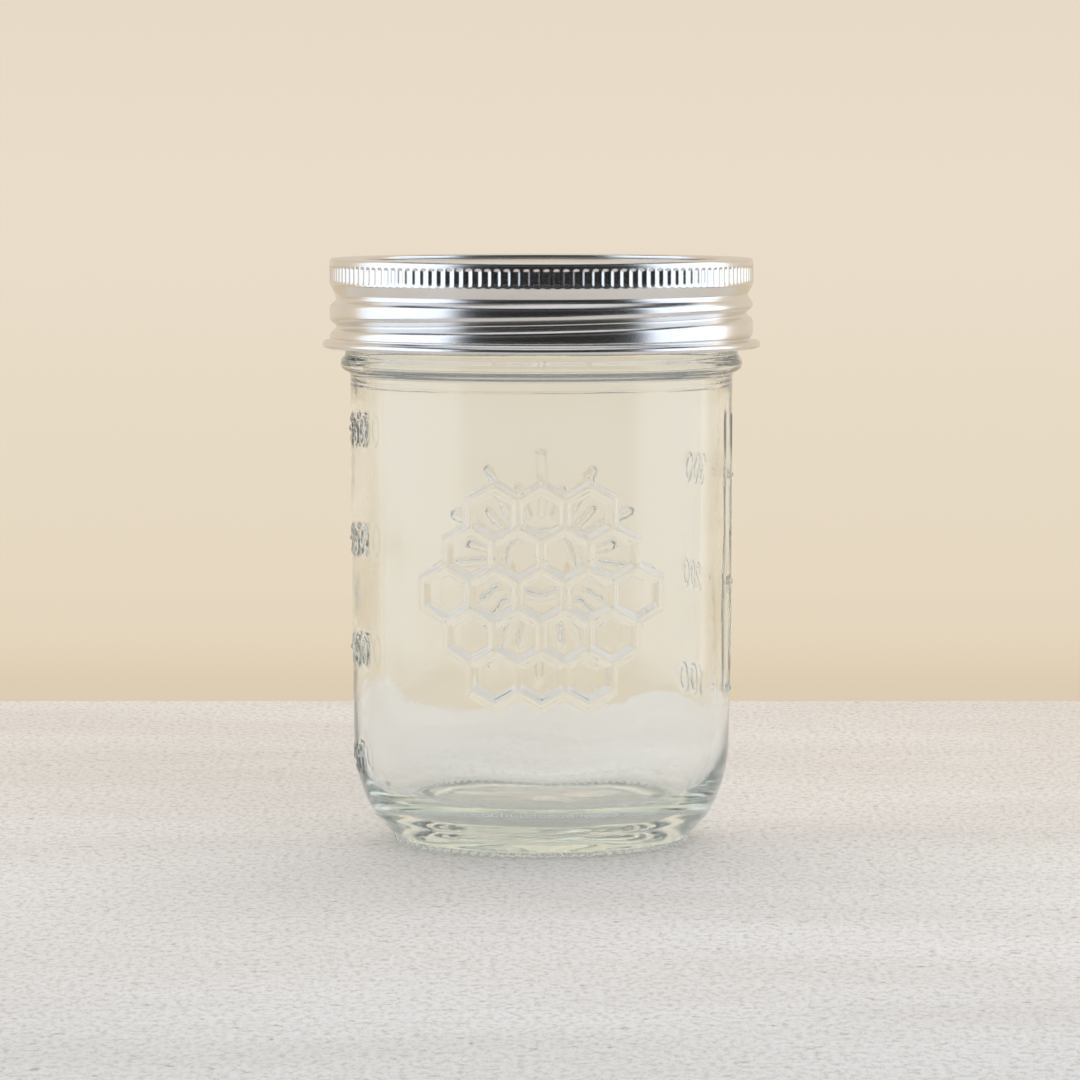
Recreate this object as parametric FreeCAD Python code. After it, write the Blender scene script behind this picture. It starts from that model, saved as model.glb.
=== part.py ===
"""A wide-mouth mason jar, closed by a disc and a screw band. Millimetres, +Z up, base on Z = 0."""

import FreeCAD
import Part
import math
import os
from functools import partial
from FreeCAD import Vector

# Overall sizes
total_height = 122.8        # base to the top of the screw band
body_radius = 40.1          # glass body just under its neck
finish_radius = 41.2        # glass that carries the thread, between its turns
glass_wall = 3.2            # wall of the body
finish_wall = 3.2           # wall at the mouth

# Body: a shallow taper, steeper in its lower half
bend_height = 45.0          # where the taper changes
bend_loss = 0.25            # how much narrower the body is there than at the neck
waist_loss = 0.64           # and how much narrower at the heel
heel_height = 21.5          # top of the rounded heel

# Foot and floor, each measured in from the waist
heel_inset = 4.3            # lower end of the rounded heel
chamfer_height = 6.1        # its height
foot_inset = 9.45           # outer edge of the ring that the jar stands on
foot_rounding = 0.9
foot_width = 2.6
recess_slope = 3.8          # breadth of the slope from the ring up into the recess
recess_edge_height = 1.8
recess_height = 2.6         # at the middle
floor_thickness = 5.0
floor_inset = 17.4          # edge of the inside floor
floor_fall = 0.6            # the floor is this much lower at its edge
dome_flat = 6.0             # floor and recess are flat this far out, and domed beyond it
dome_bulge = 0.1
inner_heel_height = 20.0
inner_heel_bulge = 4.2      # how far the inside corner's arc stands out from its chord

# Neck, bead and rim of the glass, measured down from the top of the band
body_top_drop = 26.5        # parting line between body and neck
neck_spread = 1.1           # the neck takes this step from body to finish without more height
neck_slant = 1.2            # and this much height for each millimetre beyond it
neck_straight = 1.6
bead_drop = 21.9
bead_reach = 1.0            # bead beyond the finish
bead_roll = 1.7             # radius of the bead's own section
rim_rounding = 1.1

# Screw thread, shared by glass and band
thread_pitch = 5.9
thread_drop = 12.5          # crest of the band's upper turn on the -X side, under the top
thread_depth = 1.8
thread_root_half = 1.5      # half height of the glass thread at its root
thread_crest_half = 0.6
thread_seat = 0.4           # the glass thread lies this far under the band's crest
thread_start = -60.0        # degrees from +X
thread_turn = 450.0         # degrees that the glass thread runs
thread_fade = 30.0          # degrees over which each end runs out
thread_step = 15.0          # degrees between its sections

# Screw band
sheet = 0.25
belt_clearance = 0.15       # between the thread of the glass and the ribbed belt
belt_wall = 0.75
belt_top_drop = 1.6         # the ribs start this far under the top
belt_height = 3.7
belt_slope = 2.1            # height over which the belt narrows to the neck under it
band_corner = 0.8           # rounding between lip and side
lip_width = 5.8             # the lip reaches in this far over the disc
lip_hem = 0.85              # folded sheet, thicker than the rest
hem_width = 1.6
rib_count = 138
rib_depth = 0.5
neck_ease = 0.1             # the plain neck is this much wider than the belt's inside
neck_slope = 1.5            # height over which the neck turns into the groove
groove_bite = 0.25          # the groove reaches this far in under the thread of the glass
bulge_clearance = 1.45      # between the thread of the glass and the bulge over it
bulge_root_gap = 0.7        # height between two turns of the bulge, at the groove
bulge_waist_gap = 1.7       # half way out
bulge_crest_gap = 4.1       # and between their crests
bulge_turn = 570.0          # degrees that the bulge runs, up out of the rolled rim
rim_drop = 17.95            # centre of the rolled rim, under the top
rim_reach = 2.9             # rim beyond the thread of the glass
rim_roll = 0.75             # radius of the roll
rim_bury = 0.2              # the skirt ends this far inside the roll's centre
flare_height = 1.65         # the skirt opens out to the rim over this height

# Disc and sealing ring
disc_clearance = 0.3        # between disc and belt
panel_gap = 2.7             # from the band's lip to the shallow middle of the disc
panel_step = 1.4            # breadth of the slope down to it
panel_drop = 0.15           # its top lies this far under the flange's
seal_thickness = 0.75
seal_inset = 0.2            # the sealing ring starts this far out from the mouth

# Raised marks on the glass
relief = 0.6
relief_root = 0.8           # how deep a mark is rooted in the wall
marks_low = 12.0            # marks lie between this height
marks_margin = 2.0          # and this far under the neck
pattern_drop = 3.9          # both patterns' middle, under the middle of the body
comb_pitch = 9.6            # honeycomb on the front, from one cell to the next
comb_line = 1.8
comb_rings = 2              # rings of cells round the middle one
sun_ring_radius = 7.5       # sunburst on the back
sun_line = 1.8
sun_rays = 24
sun_ray_start = 11.0
sun_ray_long = 25.0
sun_ray_short = 18.5
left_mark_first = 18.3      # height of the lowest level mark on the -X side
left_mark_step = 23.0
right_mark_first = 32.5
right_mark_step = 22.5
mark_length = 8.0
mark_line = 1.3

# Worked out from the above
waist_radius = body_radius - waist_loss
bend_radius = body_radius - bend_loss
heel_low_radius = waist_radius - heel_inset
heel_rise = heel_height - chamfer_height
heel_arc = (heel_rise ** 2 + heel_inset ** 2) / (2 * heel_inset)
foot_radius = waist_radius - foot_inset
floor_middle = recess_height + floor_thickness
wider_step = max(abs(finish_radius - body_radius) - neck_spread, 0.0)
body_top = total_height - body_top_drop - neck_slant * round(wider_step, 6)
bead_height = total_height - bead_drop
mouth_radius = finish_radius - finish_wall
flange_top = total_height - lip_hem
flange_under = flange_top - sheet
rim_top = flange_under - seal_thickness
crest_radius = finish_radius + thread_depth
belt_inner = crest_radius + belt_clearance
rib_root_radius = belt_inner + belt_wall
rib_crest_radius = rib_root_radius + rib_depth
lip_radius = rib_root_radius - lip_width
belt_top = total_height - belt_top_drop
belt_bottom = belt_top - belt_height
neck_radius = belt_inner + sheet + neck_ease
groove_radius = crest_radius + sheet - groove_bite
bulge_radius = crest_radius + bulge_clearance + sheet
rim_height = total_height - rim_drop
rim_middle_radius = crest_radius + rim_reach - rim_roll
pattern_height = (heel_height + body_top) / 2 - pattern_drop
marks_high = body_top - marks_margin
diagonal = math.sqrt(0.5)   # sine of 45 degrees
seam_angle = 45.0           # turned away from the marks, so that no seam crosses one
axis_z = Vector(0, 0, 1)
origin = Vector(0, 0, 0)
far = total_height          # outside the whole jar


def turned(start, steps):
    """Solid turned about Z from a closed outline of (radius, height) points.

    A step is the next point, or a pair of points for an arc."""
    edges = []
    here = Vector(start[0], 0, start[1])
    for step in steps + [start]:
        if isinstance(step[0], tuple):
            middle = Vector(step[0][0], 0, step[0][1])
            end = Vector(step[1][0], 0, step[1][1])
            edges.append(Part.Arc(here, middle, end).toShape())
        else:
            end = Vector(step[0], 0, step[1])
            edges.append(Part.LineSegment(here, end).toShape())
        here = end
    solid = Part.Face(Part.Wire(edges)).revolve(origin, axis_z, 360)
    solid.rotate(origin, axis_z, seam_angle)
    return solid


def arc_middle(first, second, bulge):
    """Point over the middle of a chord, bulge to the right of the way from first to second."""
    dx = second[0] - first[0]
    dz = second[1] - first[1]
    length = math.hypot(dx, dz)
    return (
        (first[0] + second[0]) / 2 + bulge * dz / length,
        (first[1] + second[1]) / 2 - bulge * dx / length,
    )


def heel_radius_at(height):
    """Outside of the rounded heel, an arc that meets the waist upright."""
    drop = heel_height - height
    return waist_radius - heel_arc + math.sqrt(heel_arc ** 2 - drop ** 2)


def crest_height(angle):
    """Height of the band's thread crest, counted on from the -X side at 180 degrees."""
    return total_height - thread_drop + thread_pitch * (angle - 180.0) / 360.0


def smooth(low, high, value):
    """0 below low, 1 above high, and an even run between them."""
    share = min(max((value - low) / (high - low), 0.0), 1.0)
    return share * share * (3 - 2 * share)


def glass_blank():
    """Outside of the jar as one turned body, recess under the base included."""
    foot_inner = foot_radius - foot_width
    recess_edge = (foot_inner - recess_slope, recess_edge_height)
    foot = (foot_radius, 0)
    foot_edge = (foot_radius + foot_rounding, 0.7 * foot_rounding)
    chamfer = (heel_low_radius, chamfer_height)
    heel_middle_height = (heel_height + chamfer_height) / 2
    heel_middle = (heel_radius_at(heel_middle_height), heel_middle_height)
    bead_root = finish_radius + bead_reach - bead_roll
    bead_low = (bead_root, bead_height - bead_roll)
    bead_side = math.sqrt(bead_roll ** 2 - (bead_roll - bead_reach) ** 2)
    rim_side = (finish_radius, rim_top - rim_rounding)
    rim_land = (finish_radius - rim_rounding, rim_top)
    rim_middle = (
        rim_land[0] + rim_rounding * diagonal,
        rim_side[1] + rim_rounding * diagonal,
    )
    recess_flat = (dome_flat, recess_height)
    return turned((0, recess_height), [
        recess_flat,
        (arc_middle(recess_flat, recess_edge, -dome_bulge), recess_edge),
        (foot_inner, 0),
        foot,
        (arc_middle(foot, foot_edge, 0.2), foot_edge),
        chamfer,
        (heel_middle, (waist_radius, heel_height)),
        (bend_radius, bend_height),
        (body_radius, body_top),
        (body_radius, body_top + neck_straight),
        bead_low,
        ((finish_radius + bead_reach, bead_height), (finish_radius, bead_height + bead_side)),
        rim_side,
        (rim_middle, rim_land),
        (0, rim_top),
    ])


def cavity():
    """Inside of the jar, from the floor out through the mouth."""
    floor_edge = (waist_radius - floor_inset, floor_middle - floor_fall)
    wall_low = (waist_radius - glass_wall, inner_heel_height)
    rim_side = (mouth_radius, rim_top - rim_rounding)
    rim_land = (mouth_radius + 0.7 * rim_rounding, rim_top)
    floor_flat = (dome_flat, floor_middle)
    return turned((0, floor_middle), [
        floor_flat,
        (arc_middle(floor_flat, floor_edge, -dome_bulge), floor_edge),
        (arc_middle(floor_edge, wall_low, inner_heel_bulge), wall_low),
        (bend_radius - glass_wall, bend_height),
        (body_radius - glass_wall, marks_high),
        (mouth_radius - 0.3, bead_height),
        rim_side,
        (arc_middle(rim_side, rim_land, -0.25), rim_land),
        (rim_land[0], rim_top + 1),
        (0, rim_top + 1),
    ])


def helical_ridge(start, turn, section):
    """Solid through the sections of a ridge. A section gives corners (radius, height) at an angle."""
    wires = []
    for i in range(round(turn / thread_step) + 1):
        angle = start + thread_step * i
        share = run_out(angle - start, start + turn - angle)
        spin = math.radians(angle)
        corners = section(crest_height(angle), share)
        points = [Vector(r * math.cos(spin), r * math.sin(spin), z) for r, z in corners]
        wires.append(Part.makePolygon(points + points[:1]))
    return Part.makeLoft(wires, True, False)


def run_out(from_start, from_end):
    """How much of a thread is there: 1 along its run, falling away towards each end."""
    return 0.06 + 0.94 * smooth(0, thread_fade, min(from_start, from_end))


def thread_section(height, share):
    """Section of the glass thread, sunk into the wall where the thread runs out."""
    sunk = 0.25
    root = finish_radius - 0.7
    crest = finish_radius - sunk + (thread_depth + sunk) * share
    middle = height - thread_seat
    size = 0.5 + 0.5 * share
    return [
        (root, middle - thread_root_half * size),
        (crest, middle - thread_crest_half * size),
        (crest, middle + thread_crest_half * size),
        (root, middle + thread_root_half * size),
    ]


def bulge_section(inset, height, share):
    """Section of the bulge that the thread makes in the band, or of its hollow inside."""
    sunk = 0.05
    root = groove_radius - 2 * sunk - 2 * inset
    crest = groove_radius - sunk + (bulge_radius - groove_radius + sunk) * share - inset
    waist = (groove_radius + crest) / 2
    radii = (root, waist, crest)
    gaps = [bulge_root_gap + 2 * inset, bulge_waist_gap + 2 * inset, bulge_crest_gap + inset]
    halves = [(thread_pitch - gap) / 2 for gap in gaps]
    low = [(r, height - h) for r, h in zip(radii, halves)]
    high = [(r, height + h) for r, h in zip(radii, halves)]
    return low + high[::-1]


def bulge(inset):
    """Helical bulge of the band, up out of the rolled rim."""
    start = 180.0 + (thread_drop - rim_drop) / thread_pitch * 360.0
    ridge = helical_ridge(start, bulge_turn, partial(bulge_section, inset))
    below = Part.makeCylinder(far, far, Vector(0, 0, rim_height - far))
    return ridge.cut(below)


def flat_prism(points):
    """Prism from the axis out to -Y over a closed outline of (x, z) points."""
    corners = [Vector(x, 0, z) for x, z in points]
    face = Part.Face(Part.makePolygon(corners + corners[:1]))
    return face.extrude(Vector(0, -far, 0))


def hexagon(x, z, apothem):
    """Corners of a hexagon that stands on a point."""
    reach = apothem / math.cos(math.radians(30))
    turns = [math.radians(30 + 60 * i) for i in range(6)]
    return [(x + reach * math.cos(t), z + reach * math.sin(t)) for t in turns]


def comb_cells():
    """Centres of the honeycomb's cells, row by row."""
    cells = []
    for row in range(-comb_rings, comb_rings + 1):
        count = 2 * comb_rings + 1 - abs(row)
        for i in range(count):
            x = (i - (count - 1) / 2) * comb_pitch
            z = pattern_height + row * comb_pitch * math.cos(math.radians(30))
            cells.append((x, z))
    return cells


def honeycomb():
    """Web of hexagonal cells on the front."""
    half = comb_pitch / 2
    line = comb_line / 2
    plates = [flat_prism(hexagon(x, z, half + line)) for x, z in comb_cells()]
    holes = [flat_prism(hexagon(x, z, half - line)) for x, z in comb_cells()]
    web = plates[0].multiFuse(plates[1:]).removeSplitter()
    return web.cut(Part.makeCompound(holes))


def sunburst():
    """Ring with long and short rays on the back."""
    middle = Vector(0, 0, pattern_height)
    back = Vector(0, 1, 0)
    outer = Part.makeCylinder(sun_ring_radius + sun_line / 2, far, middle, back)
    inner = Part.makeCylinder(sun_ring_radius - sun_line / 2, far, middle, back)
    bars = [outer.cut(inner)]
    for i in range(sun_rays):
        end = sun_ray_long if i % 2 == 0 else sun_ray_short
        bar = Part.makeBox(end - sun_ray_start, far, sun_line)
        bar.translate(Vector(sun_ray_start, 0, -sun_line / 2))
        bar.rotate(origin, back, 360.0 * i / sun_rays)
        bar.translate(middle)
        bars.append(bar)
    return bars


def mark_bar(x, y, z, width, height):
    """Bar of the level marks, from the axis out past the wall on the side that x names."""
    return Part.makeBox(far, width, height, Vector(min(x, 0) * far, y, z))


def side_marks():
    """Level marks on both sides, and the upright line of the scale on +X."""
    bars = []
    for side, first, step in (
        (-1, left_mark_first, left_mark_step),
        (1, right_mark_first, right_mark_step),
    ):
        height = first
        while height + mark_line < marks_high:
            bars.append(mark_bar(side, -mark_length / 2, height - mark_line / 2,
                                 mark_length, mark_line))
            height += step
    scale = height - right_mark_step - right_mark_first + mark_line
    bars.append(mark_bar(1, -mark_length / 2 - mark_line, right_mark_first - mark_line / 2,
                         mark_line, scale))
    return bars


def relief_shell():
    """Thin shell that follows the body and holds the height of all raised marks."""
    outer = [
        (heel_radius_at(marks_low) + relief, marks_low),
        (waist_radius + relief, heel_height),
        (bend_radius + relief, bend_height),
        (body_radius + relief, marks_high),
    ]
    inner = [(r - relief - relief_root, z) for r, z in reversed(outer)]
    middle = (marks_low + heel_height) / 2
    heel = ((heel_radius_at(middle) + relief, middle), outer[1])
    return turned(outer[0], [heel] + outer[2:] + inner)


def make_jar():
    """Glass jar with thread and raised marks."""
    marks = Part.makeCompound([honeycomb()] + sunburst() + side_marks())
    raised = relief_shell().common(marks)
    thread = helical_ridge(thread_start, thread_turn, thread_section)
    jar = glass_blank().fuse([thread] + raised.Solids)
    return jar.cut(cavity()).removeSplitter()


def rib_ring():
    """Ring of upright V ribs round the top of the band."""
    points = []
    for i in range(2 * rib_count):
        turn = math.pi * i / rib_count
        r = rib_crest_radius if i % 2 == 0 else rib_root_radius
        points.append(Vector(r * math.cos(turn), r * math.sin(turn), belt_bottom))
    star = Part.Face(Part.makePolygon(points + points[:1]))
    ring = star.extrude(Vector(0, 0, belt_top - belt_bottom))
    hole = Part.makeCylinder(rib_root_radius - belt_wall / 2, far, Vector(0, 0, belt_bottom - 1))
    return ring.cut(hole)


def make_screw_band():
    """Screw band: hemmed lip, ribbed belt, threaded skirt and rolled rim."""
    wall = rib_crest_radius - 0.05
    corner = (wall - band_corner, total_height)
    side = (wall, total_height - band_corner)
    corner_middle = (
        corner[0] + band_corner * diagonal,
        side[1] + band_corner * diagonal,
    )
    neck_top = belt_bottom - belt_slope
    groove_top = neck_top - neck_slope
    groove_end = rim_height + flare_height
    flare_end = rim_middle_radius - rim_bury
    shell = turned((lip_radius, flange_top), [
        (lip_radius, total_height),
        corner,
        (corner_middle, side),
        (wall, belt_top),
        (rib_root_radius - 0.05, belt_top),
        (rib_root_radius - 0.05, belt_bottom),
        (neck_radius, neck_top),
        (groove_radius, groove_top),
        (groove_radius, groove_end),
        (flare_end, rim_height),
        (flare_end - 1.4 * sheet, rim_height),
        (groove_radius - sheet, groove_end - 0.4 * sheet),
        (groove_radius - sheet, groove_top),
        (belt_inner, neck_top),
        (belt_inner, total_height - sheet),
        (lip_radius + hem_width, total_height - sheet),
        (lip_radius + hem_width, flange_top),
    ])
    rim = Part.makeTorus(rim_middle_radius, rim_roll, Vector(0, 0, rim_height))
    band = shell.fuse([rib_ring(), bulge(0.0)])
    return band.cut(bulge(sheet)).fuse(rim)


def make_lid_disc():
    """Flat lid: flange under the band's lip and a shallow middle."""
    panel_top = flange_top - panel_drop
    panel_radius = lip_radius - panel_gap
    top_of_step = panel_radius + panel_step
    disc_radius = belt_inner - disc_clearance
    return turned((0, panel_top - sheet), [
        (panel_radius, panel_top - sheet),
        (top_of_step, flange_under),
        (disc_radius, flange_under),
        (disc_radius, flange_top),
        (top_of_step, flange_top),
        (panel_radius, panel_top),
        (0, panel_top),
    ])


def make_sealing_ring():
    """Soft ring between the rim of the glass and the disc."""
    inner = mouth_radius + seal_inset
    outer = finish_radius - rim_rounding
    return turned((inner, rim_top), [(outer, rim_top), (outer, flange_under), (inner, flange_under)])


makers = {
    "jar": make_jar,
    "screw_band": make_screw_band,
    "lid_disc": make_lid_disc,
    "sealing_ring": make_sealing_ring,
}

os.makedirs("parts", exist_ok=True)
for node, make in makers.items():
    shape = make()
    print(node, len(shape.Solids), shape.isValid(), round(shape.Volume), len(shape.Faces))
    shape.Solids[0].exportStep("parts/" + node + ".step")
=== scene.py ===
"""Clear wide-mouth mason jar with disc, screw band and sealing ring, on a pale stone table."""
import math
import bpy
import numpy as np
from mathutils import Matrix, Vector, noise


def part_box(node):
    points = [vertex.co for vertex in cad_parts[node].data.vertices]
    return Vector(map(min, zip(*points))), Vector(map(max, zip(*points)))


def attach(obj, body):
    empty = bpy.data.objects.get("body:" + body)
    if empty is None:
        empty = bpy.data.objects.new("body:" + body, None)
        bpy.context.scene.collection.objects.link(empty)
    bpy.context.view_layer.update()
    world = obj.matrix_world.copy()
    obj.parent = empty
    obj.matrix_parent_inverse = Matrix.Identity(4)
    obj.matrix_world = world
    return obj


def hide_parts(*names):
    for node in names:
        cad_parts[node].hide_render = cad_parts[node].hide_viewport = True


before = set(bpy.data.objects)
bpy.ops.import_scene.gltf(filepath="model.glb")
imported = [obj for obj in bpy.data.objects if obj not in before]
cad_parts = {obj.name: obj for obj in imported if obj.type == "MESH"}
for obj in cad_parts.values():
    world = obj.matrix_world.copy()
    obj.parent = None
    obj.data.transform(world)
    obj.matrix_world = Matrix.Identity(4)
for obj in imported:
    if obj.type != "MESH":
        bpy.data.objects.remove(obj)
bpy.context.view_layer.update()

# Sizes are in millimetres. A reach is a distance from the jar's axis, a height is from the table.
MM = 0.001

# taken from the solids
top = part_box("screw_band")[1].z / MM            # top of the band's lip
curl_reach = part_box("screw_band")[1].x / MM     # outside of the rolled rim
curl_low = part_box("screw_band")[0].z / MM       # underside of the rolled rim
disc_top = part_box("lid_disc")[1].z / MM
disc_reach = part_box("lid_disc")[1].x / MM
rim_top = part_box("jar")[1].z / MM               # glass rim
seal_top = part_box("sealing_ring")[1].z / MM
seal_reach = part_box("sealing_ring")[1].x / MM

# glass
body_reach = 40.1                               # at the parting line
bend_reach, bend_height = 39.85, 45.0           # where the body's taper changes
waist_reach, heel_height = 39.46, 21.5          # where the rounded heel begins
heel_low_reach, chamfer_height = 35.16, 6.1     # where the heel meets the chamfer
foot_height = 0.92                              # underside of the ring that its beads hold up
recess_height = 2.6                             # underside in the middle
floor_height = 7.05                             # inner floor in the middle
parting_height = 96.3
finish_reach = 41.2
wall = 3.2
thread_pitch = 5.9
thread_drop = 12.9                              # band's lip down to the thread's low end
thread_relief = 1.8
thread_start, thread_length, thread_fade = -60, 450, 30     # degrees round the finish
thread_crest_half, thread_root_half = 0.5, 1.6

# raised marks on the glass
marks_low, marks_high = 12.0, 94.3              # stretch of the body that holds them
relief = 0.72
line_half = 1.0                                 # half breadth of a raised line
pattern_height = 55.0                           # middle of honeycomb and sunburst
comb_pitch = 9.6
sun_ring = 7.5
sun_start, sun_long, sun_short = 11.0, 25.0, 18.5
sun_rays = 24
bar_length, bar_half, bar_relief = 7.0, 0.65, 0.35
figure_size, figure_step = 5.6, 4.6             # height of a figure, and on to the next
figure_half, figure_relief = 0.6, 0.3
left_first, left_step, left_figures = 18.3, 23.0, 5.2       # lowest bar, on to the next, figures
right_first, right_step, right_figures = 32.5, 22.5, 12.5
scale_place, scale_top = -5.0, 90.0             # upright line beside the right-hand bars
scale_half, scale_relief = 0.65, 0.22

# screw band
belt_reach = 44.4                               # ribbed belt
lip_reach = 38.1                                # inner edge of the lip over the disc
groove_reach = 43.0                             # skirt between the thread's waves
neck_reach = 43.5
sheet = 0.25
flute_count = 138


# ---------------------------------------------------------------- shapes in numbers

def smooth(low, high, value):
    """0 below low, 1 above high, an even run between."""
    share = np.clip((np.asarray(value, float) - low) / (high - low), 0, 1)
    return share * share * (3 - 2 * share)


def softened(points, passes=2):
    """Open outline with its corners cut round, ends kept."""
    points = [np.array(p, float) for p in points]
    for _ in range(passes):
        cut = [points[0]]
        for a, b in zip(points, points[1:]):
            cut += [0.75 * a + 0.25 * b, 0.25 * a + 0.75 * b]
        points = cut[:1] + cut[2:-1] + [points[-1]]
    return points


def stepped(points, step):
    """Outline cut again at about equal steps along its length."""
    points = np.array(points, float)
    along = np.concatenate([[0], np.cumsum(np.linalg.norm(np.diff(points, axis=0), axis=1))])
    count = max(2, round(along[-1] / step) + 1)
    places = np.linspace(0, along[-1], count)
    return [(np.interp(s, along, points[:, 0]), np.interp(s, along, points[:, 1])) for s in places]


def heel_reach_at(height):
    """Outside of the rounded heel, an arc that meets the waist upright."""
    rise = heel_height - chamfer_height
    inset = waist_reach - heel_low_reach
    arc = (rise ** 2 + inset ** 2) / (2 * inset)
    drop = np.clip(heel_height - np.asarray(height, float), 0, rise)
    return waist_reach - arc + np.sqrt(arc ** 2 - drop ** 2)


def body_reach_at(height):
    """Outside of the glass body between chamfer and parting line."""
    tapers = np.interp(height, [heel_height, bend_height, parting_height],
                       [waist_reach, bend_reach, body_reach])
    return np.where(np.asarray(height) < heel_height, heel_reach_at(height), tapers)


# Strokes of plain figures in a box 0.6 wide and 1 high
strokes = {
    "0": [(0.3 + 0.28 * math.cos(t * math.pi / 6), 0.5 + 0.5 * math.sin(t * math.pi / 6))
          for t in range(13)],
    "1": [(0.12, 0.78), (0.34, 1), (0.34, 0)],
    "2": [(0.02, 0.78), (0.1, 0.94), (0.3, 1), (0.5, 0.93), (0.57, 0.75), (0.5, 0.55), (0.02, 0),
          (0.6, 0)],
    "3": [(0.02, 0.85), (0.15, 0.97), (0.32, 1), (0.52, 0.9), (0.55, 0.72), (0.45, 0.56),
          (0.28, 0.52), (0.45, 0.49), (0.58, 0.35), (0.56, 0.16), (0.42, 0.02), (0.25, 0),
          (0.1, 0.04), (0, 0.17)],
    "5": [(0.55, 1), (0.09, 1), (0.05, 0.55), (0.28, 0.63), (0.5, 0.54), (0.58, 0.33),
          (0.5, 0.1), (0.28, 0), (0.1, 0.04), (0, 0.16)],
}


class Marks:
    """Raised lines over a grid of places on the glass; stand is how far they stand out."""

    def __init__(self, turns, heights):
        self.turn, self.height = np.meshgrid(turns, heights, indexing="ij")
        self.stand = np.zeros(self.turn.shape)

    def lift(self, where, far, half, height):
        """Raises a rounded line, from the distance to its middle."""
        stand = height * (1 - smooth(0.3 * half, 1.3 * half, far))
        self.stand[where] = np.maximum(self.stand[where], stand)

    def line(self, across, up, a, b, half, height):
        """Straight line from a to b in the flat of across and up."""
        near = (across > min(a[0], b[0]) - 4) & (across < max(a[0], b[0]) + 4)
        near &= (up > min(a[1], b[1]) - 4) & (up < max(a[1], b[1]) + 4)
        x, z = across[near] - a[0], up[near] - a[1]
        dx, dz = b[0] - a[0], b[1] - a[1]
        share = np.clip((x * dx + z * dz) / max(dx * dx + dz * dz, 1e-9), 0, 1)
        self.lift(near, np.hypot(x - share * dx, z - share * dz), half, height)

    def comb(self):
        """Honeycomb of two rings of cells on the front."""
        across = np.where(np.sin(self.turn) < 0, body_reach * np.cos(self.turn), 99.0)
        best = np.full(self.turn.shape, 99.0)
        for row in range(-2, 3):
            count = 5 - abs(row)
            for i in range(count):
                x = np.abs(across - (i - (count - 1) / 2) * comb_pitch)
                z = np.abs(self.height - pattern_height - row * comb_pitch * math.cos(math.pi / 6))
                best = np.minimum(best, np.maximum(x, x / 2 + z * math.sqrt(0.75)))
        self.lift(..., np.abs(best - comb_pitch / 2), line_half, relief)

    def sun(self):
        """Ring with long and short rays on the back."""
        across = np.where(np.sin(self.turn) > 0, body_reach * np.cos(self.turn), 99.0)
        up = self.height - pattern_height
        reach = np.hypot(across, up)
        step = 2 * math.pi / sun_rays
        ray = np.round(np.arctan2(up, across) / step)
        off = np.arctan2(up, across) - ray * step
        end = np.where(ray % 2 == 0, sun_long, sun_short) - line_half
        along = reach * np.cos(off)
        rays = np.hypot(reach * np.sin(off), along - np.clip(along, sun_start + line_half, end))
        self.lift(..., np.minimum(rays, np.abs(reach - sun_ring)), line_half, relief)

    def side(self, middle, levels, first, step, start):
        """Level bars with their figures, read from outside; start is where the figures begin."""
        across = body_reach * ((self.turn - middle + math.pi) % (2 * math.pi) - math.pi)
        for i, figures in enumerate(levels):
            height = first + i * step
            self.line(across, self.height, (-bar_length / 2, height), (bar_length / 2, height),
                      bar_half, bar_relief)
            for j, figure in enumerate(figures):
                points = [(start + figure_step * j + figure_size * x,
                           height + figure_size * (z - 0.5)) for x, z in strokes[figure]]
                for a, b in zip(points, points[1:]):
                    self.line(across, self.height, a, b, figure_half, figure_relief)
        return across


class Skin:
    """Points and faces of one closed skin, built up ring by ring."""

    def __init__(self):
        self.points = []
        self.faces = []

    def ring(self, reach, height, count):
        """Ring of points, its numbers given back. Reach and height may differ round it."""
        turns = np.arange(count) * 2 * math.pi / count
        reach = np.broadcast_to(reach, count)
        height = np.broadcast_to(height, count)
        start = len(self.points)
        self.points += zip(reach * np.cos(turns), reach * np.sin(turns), height)
        return list(range(start, start + count))

    def join(self, low, high):
        """Faces between two rings; one may have a whole number of times more points."""
        count = min(len(low), len(high))
        low_step, high_step = len(low) // count, len(high) // count
        for i in range(count):
            a = [low[(i * low_step + k) % len(low)] for k in range(low_step + 1)]
            b = [high[(i * high_step + k) % len(high)] for k in range(high_step + 1)]
            self.faces.append(a + b[::-1])

    def rings(self, outline, count, last=None):
        """Rings along an outline of (reach, height), each joined to the one before."""
        for reach, height in outline:
            here = self.ring(reach, height, count)
            if last is not None:
                self.join(last, here)
            last = here
        return last

    def cap(self, ring, height, first):
        """Closes a ring with a fan to the axis, before the first ring or after the last."""
        self.points.append((0.0, 0.0, height))
        middle = len(self.points) - 1
        for a, b in zip(ring, ring[1:] + ring[:1]):
            self.faces.append([middle, b, a] if first else [a, b, middle])

    def mesh(self, name):
        """The skin as a smooth mesh in metres."""
        data = bpy.data.meshes.new(name)
        data.from_pydata([tuple(c * MM for c in p) for p in self.points], [], self.faces)
        data.shade_smooth()
        data.update()
        return data


def ripple(turn, height, size, seed):
    """Slow unevenness round the glass, about -1 to 1."""
    place = Vector((math.cos(turn) * 40, math.sin(turn) * 40, height)) / size
    return 2.0 * noise.noise(place + Vector((seed, 0, 0)))


def ripples(height, count, size, seed):
    """Ripple along a ring whose points all lie at one height."""
    return np.array([ripple(2 * math.pi * i / count, height, size, seed) for i in range(count)])


# ---------------------------------------------------------------- glass jar

coarse = 128                                    # cells round the jar
fine = 6                                        # parts of a cell's edge where a mark runs
body_rows = 42                                  # cells up the marked stretch
least_mark = 0.004                              # glass that stands out less is plain
outer_wave, inner_wave = 0.03, 0.16             # slow unevenness, outside and inside


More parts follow.
